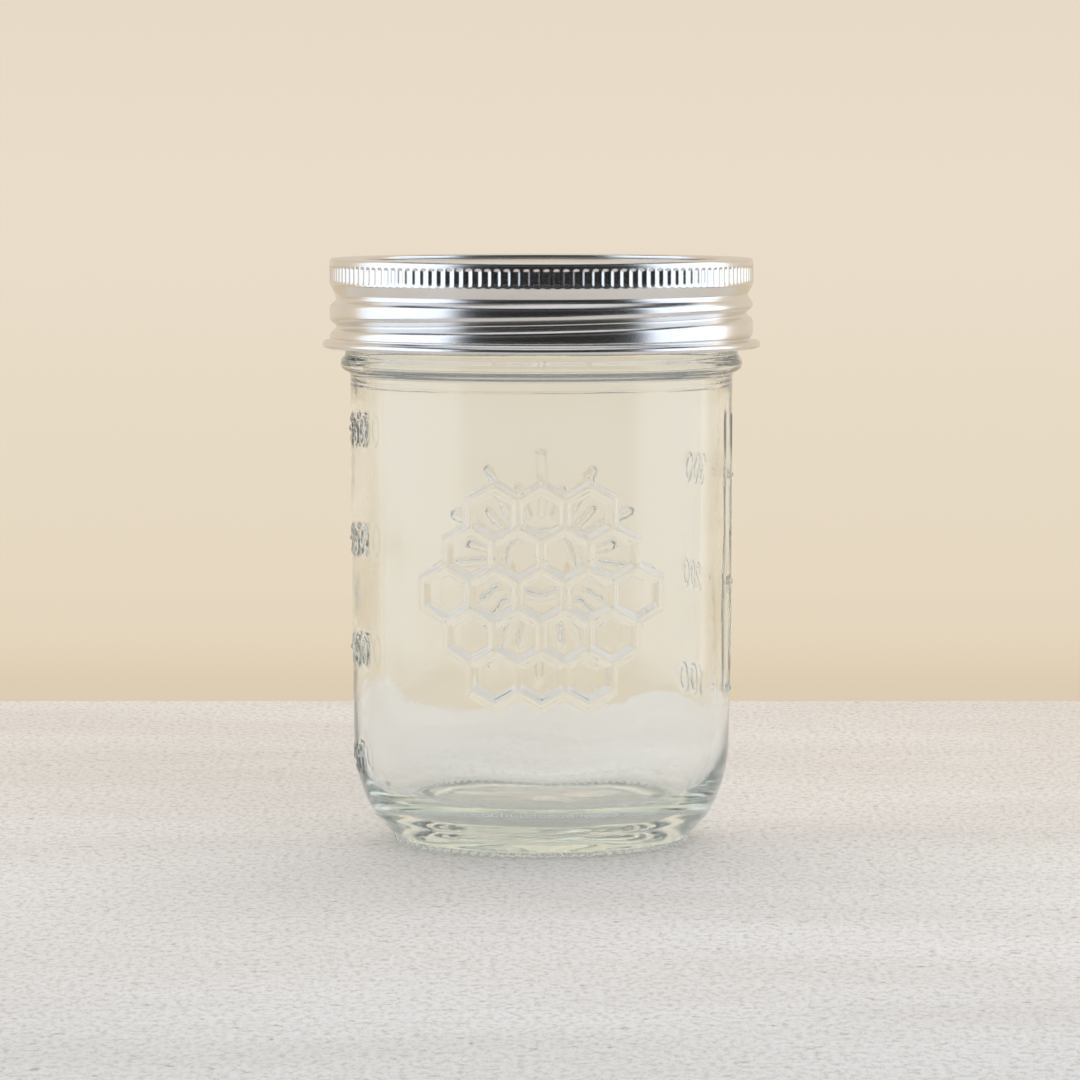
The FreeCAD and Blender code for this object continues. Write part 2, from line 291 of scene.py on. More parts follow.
def raised_body(skin, last):
    """Body of the glass with its raised marks: coarse cells, cut fine where a mark runs."""
    turns = np.arange(coarse * fine) * 2 * math.pi / (coarse * fine)
    heights = np.linspace(marks_low, marks_high, body_rows * fine + 1)
    marks = Marks(turns, heights)
    marks.comb()
    marks.sun()
    marks.side(math.pi, ["50", "150", "250", "350"], left_first, left_step, left_figures)
    right = marks.side(0, ["100", "200", "300"], right_first, right_step, right_figures)
    marks.line(right, marks.height, (scale_place, right_first), (scale_place, scale_top),
               scale_half, scale_relief)
    stand = marks.stand
    reach = body_reach_at(heights)[None, :] + stand
    count = coarse * fine
    numbers = {}

    def number(i, j):
        key = (i % count, j)
        if key not in numbers:
            numbers[key] = len(skin.points)
            turn = turns[key[0]]
            r = reach[key[0], j] + outer_wave * ripple(turn, heights[j], 17.0, 3.0)
            skin.points.append((r * math.cos(turn), r * math.sin(turn), heights[j]))
        return numbers[key]

    marked = np.zeros((coarse, body_rows), bool)
    for i in range(coarse):
        for j in range(body_rows):
            cell = np.take(stand, range(i * fine, (i + 1) * fine + 1), axis=0, mode="wrap")
            marked[i, j] = cell[:, j * fine:(j + 1) * fine + 1].max() > least_mark

    def edge(a, b, split):
        """Numbers from corner a up to, but not at, corner b."""
        steps = fine if split else 1
        return [number(a[0] + (b[0] - a[0]) * k // steps, a[1] + (b[1] - a[1]) * k // steps)
                for k in range(steps)]

    for i in range(coarse):
        for j in range(body_rows):
            i0, i1, j0, j1 = i * fine, (i + 1) * fine, j * fine, (j + 1) * fine
            if marked[i, j]:
                for a in range(i0, i1):
                    for b in range(j0, j1):
                        skin.faces.append([number(a, b), number(a + 1, b), number(a + 1, b + 1),
                                           number(a, b + 1)])
                continue
            below = j > 0 and marked[i, j - 1]
            above = j + 1 < body_rows and marked[i, j + 1]
            skin.faces.append(edge((i0, j0), (i1, j0), below)
                              + edge((i1, j0), (i1, j1), marked[(i + 1) % coarse, j])
                              + edge((i1, j1), (i0, j1), above)
                              + edge((i0, j1), (i0, j0), marked[i - 1, j]))
    skin.join(last, [number(i * fine, 0) for i in range(coarse)])
    return [number(i * fine, body_rows * fine) for i in range(coarse)]


def thread_stand(turn, height):
    """How far the screw thread stands out of the finish."""
    along = (math.degrees(turn) - thread_start) % 360
    crest = top - thread_drop + thread_pitch * (along + thread_start - 180) / 360
    stand = 0.0
    for lap in range(2):
        run = along + 360 * lap
        share = smooth(0, thread_fade, min(run, thread_length - run))
        off = abs(height - crest - thread_pitch * lap)
        swell = 1 - smooth(thread_crest_half, thread_root_half, off)
        stand = max(stand, float(thread_relief * share * swell))
    return stand


def glass_bottom(skin):
    """Recess, foot and the low part of the heel, from the axis outwards."""
    recess = softened([(3, recess_height), (12, recess_height - 0.05), (20, 2.3), (24.2, 1.9),
                       (26.0, 1.35), (27.0, 1.0), (27.6, foot_height)], 3)
    foot = softened([(27.6, foot_height), (29.2, foot_height), (30.1, 1.0), (30.6, 1.35),
                     (31.2, 1.95), (34.6, 5.3), (35.1, 5.8), (35.4, 6.3), (36.3, 8.1),
                     (37.15, 9.9), (heel_reach_at(11.2), 11.2)], 2)
    last = skin.rings(stepped(recess, 1.1), coarse)
    skin.cap(list(range(coarse)), recess_height, True)
    last = skin.rings(stepped(foot, 0.35)[1:], coarse, last)
    return skin.rings([(heel_reach_at(11.6), 11.6)], coarse, last)


def glass_finish(skin, last):
    """Parting line, neck, thread and rim, from the body upwards."""
    last = skin.rings([(body_reach_at(z), z) for z in (94.9, 95.5, 95.9)], coarse, last)
    seam = ripples(parting_height, coarse, 7.0, 5.0)
    for lift, stand in ((-0.22, 0.0), (-0.1, 0.1), (0.0, 0.16), (0.1, 0.08), (0.22, 0.0)):
        here = skin.ring(body_reach + stand * (0.8 + 0.5 * seam),
                         parting_height + lift + 0.12 * seam, coarse)
        skin.join(last, here)
        last = here
    neck = softened([(body_reach, 96.8), (body_reach, 98.2), (40.4, 99.0), (41.2, 99.25),
                     (42.0, 99.9), (42.2, 100.9), (42.0, 101.9), (41.3, 102.6),
                     (finish_reach, 103.3), (finish_reach, 104.2)], 2)
    last = skin.rings(stepped(neck, 0.3), coarse, last)
    turns = np.arange(coarse) * 2 * math.pi / coarse
    for z in np.arange(104.6, rim_top - 1.2, 0.5):
        here = skin.ring(finish_reach + np.array([thread_stand(t, z) for t in turns]), z, coarse)
        skin.join(last, here)
        last = here
    mouth_reach = finish_reach - wall
    rim = softened([(finish_reach, rim_top - 1.0), (finish_reach, rim_top - 0.4),
                    (finish_reach - 0.4, rim_top), (finish_reach - 1.2, rim_top),
                    (mouth_reach + 1.0, rim_top), (mouth_reach + 0.3, rim_top),
                    (mouth_reach, rim_top - 0.5), (mouth_reach, rim_top - 1.6)], 2)
    return skin.rings(stepped(rim, 0.35), coarse, last)


def glass_inside(skin, last):
    """Inside of the jar, from the mouth down to the floor, a little uneven as pressed glass is."""
    mouth_reach = finish_reach - wall
    inner_waist = waist_reach - wall
    inside = softened([(mouth_reach, rim_top - 1.6), (mouth_reach, 112),
                       (mouth_reach - 0.3, 100.9), (body_reach - wall, 95.0),
                       (body_reach - wall, 86.0), (bend_reach - wall, bend_height),
                       (inner_waist, 24.0), (inner_waist - 0.2, 18.0), (inner_waist - 2.4, 12.2),
                       (inner_waist - 6.4, 8.9), (25.6, 7.3), (22.4, 6.6), (20.4, 6.35),
                       (18.0, 6.35), (12, 6.7), (6, 7.0), (3, floor_height)], 3)
    for reach, height in stepped(inside, 1.25):
        swell = inner_wave + 0.05 * math.sin(height / 9)
        uneven = ripples(height, coarse, 19.0, 0.0) * swell
        fade = smooth(2, 14, reach) * smooth(0, 6, rim_top - height)
        side = smooth(20, 34, reach)
        here = skin.ring(reach - uneven * fade * side, height + uneven * 0.6 * fade * (1 - side),
                         coarse)
        skin.join(last, here)
        last = here
    skin.cap(last, floor_height, False)


def glass_skin():
    """Whole jar as one closed skin."""
    skin = Skin()
    glass_inside(skin, glass_finish(skin, raised_body(skin, glass_bottom(skin))))
    return skin


# ---------------------------------------------------------------- node trees

class Sums:
    """Short hand for the sums of a node tree."""

    def __init__(self, tree):
        self.tree = tree

    def put(self, socket, value):
        if isinstance(value, bpy.types.NodeSocket):
            self.tree.links.new(value, socket)
        elif value is not None:
            socket.default_value = value

    def do(self, operation, *values):
        """Math node."""
        node = self.tree.nodes.new("ShaderNodeMath")
        node.operation = operation
        for socket, value in zip(node.inputs, values):
            self.put(socket, value)
        return node.outputs[0]

    def map(self, value, low, high, start=0.0, end=1.0):
        """Smooth run from start to end while value goes from low to high."""
        node = self.tree.nodes.new("ShaderNodeMapRange")
        node.interpolation_type = "SMOOTHSTEP"
        for socket, number in zip(node.inputs, (value, low, high, start, end)):
            self.put(socket, number)
        return node.outputs[0]

    def node(self, kind, **settings):
        """Any node, with settings."""
        made = self.tree.nodes.new(kind)
        for name, value in settings.items():
            setattr(made, name, value)
        return made


def rule(name, inputs):
    """Geometry Nodes tree with a Geometry input and named sizes, and its sockets."""
    tree = bpy.data.node_groups.new(name, "GeometryNodeTree")
    tree.interface.new_socket("Geometry", in_out="INPUT", socket_type="NodeSocketGeometry")
    for label in inputs:
        kind = "NodeSocketInt" if label.startswith(("Count", "Seed")) else "NodeSocketFloat"
        tree.interface.new_socket(label, in_out="INPUT", socket_type=kind)
    tree.interface.new_socket("Geometry", in_out="OUTPUT", socket_type="NodeSocketGeometry")
    start = tree.nodes.new("NodeGroupInput")
    end = tree.nodes.new("NodeGroupOutput")
    return tree, start, end


def finish_rule(tree, geometry, end, material):
    """Ends a tree in Realize Instances and Set Material."""
    real = tree.nodes.new("GeometryNodeRealizeInstances")
    paint = tree.nodes.new("GeometryNodeSetMaterial")
    paint.inputs["Material"].default_value = material
    tree.links.new(geometry, real.inputs[0])
    tree.links.new(real.outputs[0], paint.inputs["Geometry"])
    tree.links.new(paint.outputs[0], end.inputs[0])


def ruled(data, tree, sizes):
    """Plain mesh that a tree makes of a mesh."""
    blank = bpy.data.objects.new(data.name + "_blank", data)
    bpy.context.scene.collection.objects.link(blank)
    modifier = blank.modifiers.new("rule", "NODES")
    modifier.node_group = tree
    for item in tree.interface.items_tree:
        if item.in_out == "INPUT" and item.name in sizes:
            modifier[item.identifier] = sizes[item.name]
    blank.update_tag()
    graph = bpy.context.evaluated_depsgraph_get()
    made = bpy.data.meshes.new_from_object(blank.evaluated_get(graph))
    blank.modifiers.clear()
    bpy.data.objects.remove(blank)
    return made


def piece(name, data, material, node):
    """Finished piece from a mesh."""
    made = bpy.data.objects.new(name, data)
    bpy.context.scene.collection.objects.link(made)
    if not data.materials:
        data.materials.append(material)
    data.shade_smooth()
    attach(made, "root")
    if node:
        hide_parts(node)


# ---------------------------------------------------------------- materials

def new_material(name):
    """Empty node material, its sums and its output."""
    material = bpy.data.materials.new(name)
    material.use_nodes = True
    tree = material.node_tree
    tree.nodes.clear()
    output = tree.nodes.new("ShaderNodeOutputMaterial")
    return material, Sums(tree), output


def pattern(sums, scale, detail=2.0, rough=0.5, stretch=(1, 1, 1)):
    """Noise over the piece's own coordinates; scale is per metre."""
    place = sums.node("ShaderNodeTexCoord")
    mapping = sums.node("ShaderNodeMapping")
    mapping.inputs["Scale"].default_value = stretch
    made = sums.node("ShaderNodeTexNoise")
    sums.put(mapping.inputs["Vector"], place.outputs["Object"])
    sums.put(made.inputs["Vector"], mapping.outputs[0])
    made.inputs["Scale"].default_value = scale
    made.inputs["Detail"].default_value = detail
    made.inputs["Roughness"].default_value = rough
    return made.outputs[0]


def bumped(sums, shader, height, strength, distance):
    """Bump from a height onto a shader's normal."""
    bump = sums.node("ShaderNodeBump")
    bump.inputs["Strength"].default_value = strength
    bump.inputs["Distance"].default_value = distance
    sums.put(bump.inputs["Height"], height)
    sums.put(shader.inputs["Normal"], bump.outputs[0])


def clear_glass():
    """Soda-lime glass: clear, a faint green in its depth, lamps pass through it."""
    material, sums, output = new_material("clear_glass")
    glass = sums.node("ShaderNodeBsdfPrincipled")
    glass.inputs["Base Color"].default_value = (0.985, 0.998, 0.996, 1)
    glass.inputs["Transmission Weight"].default_value = 0.985
    glass.inputs["IOR"].default_value = 1.46
    speckle = pattern(sums, 900, 2)
    sums.put(glass.inputs["Roughness"], sums.map(speckle, 0.3, 0.8, 0.03, 0.06))
    bumped(sums, glass, pattern(sums, 140, 3), 0.06, 0.0006)
    clear = sums.node("ShaderNodeBsdfTransparent")
    clear.inputs["Color"].default_value = (0.98, 0.985, 0.98, 1)
    path = sums.node("ShaderNodeLightPath")
    mix = sums.node("ShaderNodeMixShader")
    sums.put(mix.inputs[0], path.outputs["Is Shadow Ray"])
    sums.put(mix.inputs[1], glass.outputs[0])
    sums.put(mix.inputs[2], clear.outputs[0])
    sums.put(output.inputs["Surface"], mix.outputs[0])
    depth = sums.node("ShaderNodeVolumeAbsorption")
    depth.inputs["Color"].default_value = (0.80, 0.92, 0.82, 1)
    depth.inputs["Density"].default_value = 9
    sums.put(output.inputs["Volume"], depth.outputs[0])
    return material


def bright_sheet(name, colour, rough, grain):
    """Bright tinned sheet: fine grain, slight clouding, faint drawing lines round the piece."""
    material, sums, output = new_material(name)
    metal = sums.node("ShaderNodeBsdfPrincipled")
    metal.inputs["Metallic"].default_value = 1
    clouds = pattern(sums, 60, 4, 0.6)
    speckle = pattern(sums, 2600, 3, 0.7)
    drawn = pattern(sums, 300, 4, 0.7, (0.12, 0.12, 9))
    colours = sums.node("ShaderNodeMix", data_type="RGBA")
    colours.inputs[6].default_value = tuple(c * 0.93 for c in colour) + (1,)
    colours.inputs[7].default_value = tuple(min(c * 1.05, 1) for c in colour) + (1,)
    sums.put(colours.inputs[0], clouds)
    sums.put(metal.inputs["Base Color"], colours.outputs[2])
    spread = sums.do("MULTIPLY_ADD", speckle, 0.10, sums.do("MULTIPLY", drawn, 0.06))
    sums.put(metal.inputs["Roughness"], sums.do("ADD", spread, rough - 0.08))
    height = sums.do("MULTIPLY_ADD", speckle, grain, drawn)
    bumped(sums, metal, height, 0.12, 0.00012)
    sums.put(output.inputs["Surface"], metal.outputs[0])
    return material


def seal_compound():
    """Matt sealing compound with a fine dry grain."""
    material, sums, output = new_material("seal_compound")
    shader = sums.node("ShaderNodeBsdfPrincipled")
    shader.inputs["Roughness"].default_value = 0.6
    colours = sums.node("ShaderNodeMix", data_type="RGBA")
    colours.inputs[6].default_value = (0.36, 0.34, 0.31, 1)
    colours.inputs[7].default_value = (0.46, 0.44, 0.40, 1)
    sums.put(colours.inputs[0], pattern(sums, 400, 4))
    sums.put(shader.inputs["Base Color"], colours.outputs[2])
    bumped(sums, shader, pattern(sums, 2500, 3), 0.3, 0.0002)
    sums.put(output.inputs["Surface"], shader.outputs[0])
    return material


def srgb(red, green, blue):
    """Colour as written on a screen, made linear."""
    linear = [c / 12.92 if c <= 0.04045 else ((c + 0.055) / 1.055) ** 2.4
              for c in (red / 255, green / 255, blue / 255)]
    return (*linear, 1)


# ---------------------------------------------------------------- screw band

band_coarse = 2 * flute_count                   # points round the plain parts
band_fine = 4                                   # times as many round the ribbed belt


def band_skin():
    """Blank of the band before its rules: lip, plain wall, skirt and rolled rim, one sheet."""
    skin = Skin()
    curl = (curl_reach + belt_reach) / 2
    roll = (curl_reach - belt_reach) / 2
    mid = curl_low + roll
    rim = [(curl + roll * math.cos(math.radians(a)), mid + roll * math.sin(math.radians(a)))
           for a in range(180, 481, 12)]
    flare = softened([rim[-1], (43.9, 105.85), (43.15, 106.1), (groove_reach, 106.7)], 2)
    skirt = [(groove_reach, z) for z in np.arange(107.0, 113.5, 0.2)]
    neck = softened([(groove_reach, 113.5), (groove_reach + 0.05, 114.6), (43.2, 115.2),
                     (43.35, 115.5), (43.75, 116.2), (44.2, 117.1), (belt_reach, 117.5)], 2)
    belt = [(belt_reach, z) for z in np.arange(117.75, 121.6, 0.25)]
    lip = softened([(belt_reach, 121.75), (belt_reach, 122.2), (belt_reach - 0.25, top - 0.12),
                    (belt_reach - 0.8, top), (belt_reach - 1.6, top), (lip_reach + 1.4, top),
                    (lip_reach + 0.3, top), (lip_reach, top - 0.18), (lip_reach, disc_top + 0.16),
                    (lip_reach + 0.16, disc_top), (lip_reach + 1.2, disc_top),
                    (lip_reach + 1.6, disc_top + 0.1), (lip_reach + 1.7, top - sheet - 0.1),
                    (lip_reach + 2.1, top - sheet), (42.8, top - sheet), (43.2, top - sheet - 0.3),
                    (43.2, 118.0), (neck_reach - sheet, 116.0), (neck_reach - sheet, 115.0),
                    (groove_reach - sheet, 113.5)], 2)
    inner = [(groove_reach - sheet, z) for z in np.arange(113.1, 106.6, -0.3)]
    last = skin.rings(rim + stepped(flare, 0.25)[1:], band_coarse)
    last = skin.rings(skirt, band_coarse, last)
    last = skin.rings(stepped(neck, 0.25)[:-1], band_coarse, last)
    last = skin.rings(belt, band_coarse * band_fine, last)
    last = skin.rings(lip, band_coarse, last)
    last = skin.rings(inner, band_coarse, last)
    last = skin.rings([(43.2, 106.1), (43.9, 105.7)], band_coarse, last)
    skin.join(last, list(range(band_coarse)))
    return skin


def flute_press(sums, size, share, reach, z):
    """How deep the flutes are pressed in. Each is a slot with round ends; share is the turn."""
    turn = sums.do("MULTIPLY", share, size["Count of Flutes"])
    off = sums.do("SUBTRACT", sums.do("FRACT", sums.do("ADD", turn, 0.5)), 0.5)
    step = sums.do("DIVIDE", sums.do("MULTIPLY", size["Belt Reach"], 2 * math.pi),
                   size["Count of Flutes"])
    across = sums.do("MULTIPLY", off, step)
    end_run = sums.do("MULTIPLY", size["Flute Half Width"], 0.55)
    low = sums.do("ADD", size["Flute Low"], end_run)
    high = sums.do("SUBTRACT", size["Flute High"], end_run)
    held = sums.do("MINIMUM", sums.do("MAXIMUM", z, low), high)
    up = sums.do("MULTIPLY", sums.do("SUBTRACT", z, held), 1.8)
    away = sums.do("SQRT", sums.do("ADD", sums.do("MULTIPLY", across, across),
                                   sums.do("MULTIPLY", up, up)))
    inner_edge = sums.do("MULTIPLY", size["Flute Half Width"], 0.08)
    pressed = sums.map(away, inner_edge, size["Flute Half Width"], 1.0, 0.0)
    on_belt = sums.do("GREATER_THAN", reach, sums.do("SUBTRACT", size["Belt Reach"], 0.0006))
    return sums.do("MULTIPLY", sums.do("MULTIPLY", pressed, on_belt), size["Flute Depth"])


def thread_wave(sums, size, share, z):
    """How far the wave over the thread stands out, from the distance to its crest in pitches."""
    climb = sums.do("DIVIDE", sums.do("SUBTRACT", z, size["Crest Height"]), size["Pitch"])
    lap = sums.do("SUBTRACT", climb, sums.do("SUBTRACT", share, 0.5))
    part = sums.do("FRACT", sums.do("ADD", lap, 0.5))
    crest = sums.do("ABSOLUTE", sums.do("SUBTRACT", part, 0.5))
    root = sums.do("DIVIDE", sums.do("SUBTRACT", 0.5, crest), 0.17)
    fall = sums.do("MULTIPLY", sums.do("MULTIPLY", root, root), -1.0)
    wave = sums.do("SUBTRACT", 1.0, sums.do("EXPONENT", fall))
    low_fade = sums.map(z, size["Wave Low"], sums.do("ADD", size["Wave Low"], 0.0012))
    high_fade = sums.map(z, sums.do("SUBTRACT", size["Wave High"], 0.0026), size["Wave High"],
                         1.0, 0.0)
    return sums.do("MULTIPLY", sums.do("MULTIPLY", wave, size["Wave Height"]),
                   sums.do("MULTIPLY", low_fade, high_fade))


def band_rule(material):
    """Presses the flutes into the belt and rolls the thread's wave into the skirt."""
    tree, start, end = rule("pressed band", [
        "Count of Flutes", "Flute Depth", "Flute Half Width", "Flute Low", "Flute High",
        "Belt Reach", "Pitch", "Crest Height", "Wave Height", "Wave Low", "Wave High",
    ])
    sums = Sums(tree)
    size = start.outputs
    apart = sums.node("ShaderNodeSeparateXYZ")
    sums.put(apart.inputs[0], sums.node("GeometryNodeInputPosition").outputs[0])
    x, y, z = apart.outputs
    reach = sums.do("SQRT", sums.do("ADD", sums.do("MULTIPLY", x, x), sums.do("MULTIPLY", y, y)))
    share = sums.do("DIVIDE", sums.do("ARCTAN2", y, x), 2 * math.pi)
    press = flute_press(sums, size, share, reach, z)
    swell = thread_wave(sums, size, share, z)
    moved = sums.do("ADD", sums.do("SUBTRACT", reach, press), swell)
    scale = sums.do("DIVIDE", moved, sums.do("MAXIMUM", reach, 0.001))
    together = sums.node("ShaderNodeCombineXYZ")
    sums.put(together.inputs[0], sums.do("MULTIPLY", x, scale))
    sums.put(together.inputs[1], sums.do("MULTIPLY", y, scale))
    sums.put(together.inputs[2], z)
    shift = sums.node("GeometryNodeSetPosition")
    sums.put(shift.inputs["Geometry"], start.outputs["Geometry"])
    sums.put(shift.inputs["Position"], together.outputs[0])
    finish_rule(tree, shift.outputs[0], end, material)
    return tree


# ---------------------------------------------------------------- foot stipple

def half_dome(sums, size):
    """Dome that hangs down from its flat side."""
    dome = sums.node("GeometryNodeMeshUVSphere")
    dome.inputs["Segments"].default_value = 8
    dome.inputs["Rings"].default_value = 4
    sums.put(dome.inputs["Radius"], size["Dome Reach"])
    apart = sums.node("ShaderNodeSeparateXYZ")
    sums.put(apart.inputs[0], sums.node("GeometryNodeInputPosition").outputs[0])
    lower = sums.node("ShaderNodeCombineXYZ")
    sums.put(lower.inputs[0], apart.outputs[0])
    sums.put(lower.inputs[1], apart.outputs[1])
    sums.put(lower.inputs[2], sums.do("MINIMUM", apart.outputs[2], 0.0))
    half = sums.node("GeometryNodeSetPosition")
    sums.put(half.inputs["Geometry"], dome.outputs[0])
    sums.put(half.inputs["Position"], lower.outputs[0])
    squeeze = sums.node("ShaderNodeCombineXYZ")
    squeeze.inputs[0].default_value = 1
    squeeze.inputs[1].default_value = 1
    sums.put(squeeze.inputs[2], sums.do("DIVIDE", size["Dome Height"], size["Dome Reach"]))
    flat = sums.node("GeometryNodeTransform")
    sums.put(flat.inputs["Geometry"], half.outputs[0])
    sums.put(flat.inputs["Scale"], squeeze.outputs[0])
    return flat.outputs[0]


def stipple_rule(material):
    """Rows of small domes round the ring that the jar stands on."""
    tree, start, end = rule("foot stipple", [
        "Count in Row", "Count of Rows", "Seed", "First Reach", "Row Step", "Dome Reach",
        "Dome Height", "Dome Top",
    ])
    sums = Sums(tree)
    size = start.outputs
    total = sums.do("MULTIPLY", size["Count in Row"], size["Count of Rows"])
    places = sums.node("GeometryNodePoints")
    sums.put(places.inputs["Count"], total)
    index = sums.node("GeometryNodeInputIndex").outputs[0]
    row = sums.do("FLOOR", sums.do("DIVIDE", sums.do("ADD", index, 0.5), size["Count in Row"]))
    column = sums.do("ADD", index, sums.do("MULTIPLY", row, 0.5))
    turn = sums.do("MULTIPLY", sums.do("DIVIDE", column, size["Count in Row"]), 2 * math.pi)
    chance = sums.node("FunctionNodeRandomValue", data_type="FLOAT")
    sums.put(chance.inputs["Seed"], size["Seed"])
    wobble = sums.do("SUBTRACT", chance.outputs[1], 0.5)
    turn = sums.do("MULTIPLY_ADD", wobble, 0.006, turn)
    reach = sums.do("MULTIPLY_ADD", row, size["Row Step"], size["First Reach"])
    reach = sums.do("MULTIPLY_ADD", wobble, 0.00015, reach)
    spot = sums.node("ShaderNodeCombineXYZ")
    sums.put(spot.inputs[0], sums.do("MULTIPLY", reach, sums.do("COSINE", turn)))
    sums.put(spot.inputs[1], sums.do("MULTIPLY", reach, sums.do("SINE", turn)))
    sums.put(spot.inputs[2], size["Dome Top"])
    sums.put(places.inputs["Position"], spot.outputs[0])
    strewn = sums.node("GeometryNodeInstanceOnPoints")
    sums.put(strewn.inputs["Points"], places.outputs[0])
    sums.put(strewn.inputs["Instance"], half_dome(sums, size))
    finish_rule(tree, strewn.outputs[0], end, material)
    return tree


# ---------------------------------------------------------------- disc and seal

def disc_skin():
    """Flat lid with its shallow middle, one closed plate."""
    skin = Skin()
    edge = disc_reach
    under = seal_top
    middle_drop = 0.15
    count = 192
    upper = softened([(3, disc_top - middle_drop), (34.6, disc_top - middle_drop),
                      (35.6, disc_top - 0.13),
                      (36.3, disc_top - 0.04), (37.2, disc_top), (edge - 0.4, disc_top),
                      (edge, disc_top - 0.06), (edge, under + 0.05), (edge - 0.1, under)], 2)
    lower = softened([(edge - 0.1, under), (37.2, under), (36.3, under - 0.04),
                      (35.6, under - 0.13), (34.6, under - middle_drop),
                      (3, under - middle_drop)], 2)
    last = skin.rings((upper + lower[1:])[::-1], count)
    skin.cap(list(range(count)), under - middle_drop, True)
    skin.cap(last, disc_top - middle_drop, False)
    return skin


def seal_skin():
    """Rounded bead of sealing compound between glass and disc."""
    skin = Skin()
    inner = seal_reach - 1.9
    low, high = rim_top, seal_top
    count = 160
    outline = softened([(inner, (low + high) / 2), (inner, low), (seal_reach, low),
                        (seal_reach, high), (inner, high), (inner, (low + high) / 2)], 2)
    last = skin.rings(outline[:-1], count)
    skin.join(last, list(range(count)))
    return skin


# ---------------------------------------------------------------- pieces

glass = clear_glass()
band_metal = bright_sheet("drawn_band_metal", (0.78, 0.76, 0.735), 0.22, 0.5)
disc_metal = bright_sheet("rolled_disc_metal", (0.76, 0.74, 0.715), 0.25, 0.6)
compound = seal_compound()

piece("glass_jar", glass_skin().mesh("glass_jar"), glass, "jar")

band_data = ruled(band_skin().mesh("screw_band_sheet"), band_rule(band_metal), {
    "Count of Flutes": flute_count, "Flute Depth": 0.26 * MM, "Flute Half Width": 1.0 * MM,
    "Flute Low": 117.7 * MM, "Flute High": 121.45 * MM, "Belt Reach": belt_reach * MM,
    "Pitch": thread_pitch * MM, "Crest Height": (top - 11.4) * MM, "Wave Height": 1.4 * MM,
    "Wave Low": 105.3 * MM, "Wave High": 115.6 * MM,
})
piece("screw_band_sheet", band_data, band_metal, "screw_band")

stipple_data = ruled(bpy.data.meshes.new("foot_stipple"), stipple_rule(glass), {
    "Count in Row": 84, "Count of Rows": 2, "Seed": 4, "First Reach": 28.6 * MM,
    "Row Step": 1.5 * MM, "Dome Reach": 0.95 * MM, "Dome Height": 1.0 * MM,
    "Dome Top": 1.002 * MM,
})
piece("foot_stipple", stipple_data, glass, None)

piece("flat_lid", disc_skin().mesh("flat_lid"), disc_metal, "lid_disc")
piece("seal_bead", seal_skin().mesh("seal_bead"), compound, "sealing_ring")


# ---------------------------------------------------------------- table, wall, lamps, camera

def stone_top():
    """Pale mottled stone with fine pits."""
    material, sums, output = new_material("pale_stone")
    shader = sums.node("ShaderNodeBsdfPrincipled")
    shader.inputs["Roughness"].default_value = 0.75
    shader.inputs["Specular IOR Level"].default_value = 0.2
    clouds = pattern(sums, 9, 5, 0.6, (0.6, 1.6, 1))
    place = sums.node("ShaderNodeTexCoord")
    apart = sums.node("ShaderNodeSeparateXYZ")
    sums.put(apart.inputs[0], place.outputs["Object"])
    front = sums.node("ShaderNodeMix", data_type="RGBA")
    front.inputs[6].default_value = srgb(212, 208, 202)
    front.inputs[7].default_value = srgb(224, 218, 211)
    sums.put(front.inputs[0], sums.map(apart.outputs[1], -0.3, -0.12))
    back = sums.node("ShaderNodeMix", data_type="RGBA")
    back.inputs[7].default_value = srgb(222, 212, 199)
    sums.put(back.inputs[6], front.outputs[2])
    sums.put(back.inputs[0], sums.map(apart.outputs[1], -0.15, 0.2))
    patches = sums.node("ShaderNodeMix", data_type="RGBA", blend_type="MULTIPLY")
    patches.inputs[0].default_value = 1
    sums.put(patches.inputs[6], back.outputs[2])
    tones = sums.node("ShaderNodeMix", data_type="RGBA")
    tones.inputs[6].default_value = (0.93, 0.915, 0.9, 1)
    tones.inputs[7].default_value = (1, 1, 1, 1)
    sums.put(tones.inputs[0], sums.map(clouds, 0.35, 0.65))
    sums.put(patches.inputs[7], tones.outputs[2])
    grain = pattern(sums, 750, 5, 0.75, (1, 0.5, 1))
    pits = pattern(sums, 330, 3, 0.6)
    shade = sums.do("ADD", sums.map(grain, 0.43, 0.70, 0.0, 0.55),
                    sums.map(pits, 0.6, 0.72, 0.0, 0.55))
    specks = sums.node("ShaderNodeMix", data_type="RGBA")
    specks.inputs[7].default_value = srgb(158, 142, 128)
    sums.put(specks.inputs[0], shade)
    sums.put(specks.inputs[6], patches.outputs[2])
    sums.put(shader.inputs["Base Color"], specks.outputs[2])
    bumped(sums, shader, pattern(sums, 300, 6, 0.7), 0.3, 0.0008)
    sums.put(output.inputs["Surface"], shader.outputs[0])
    return material


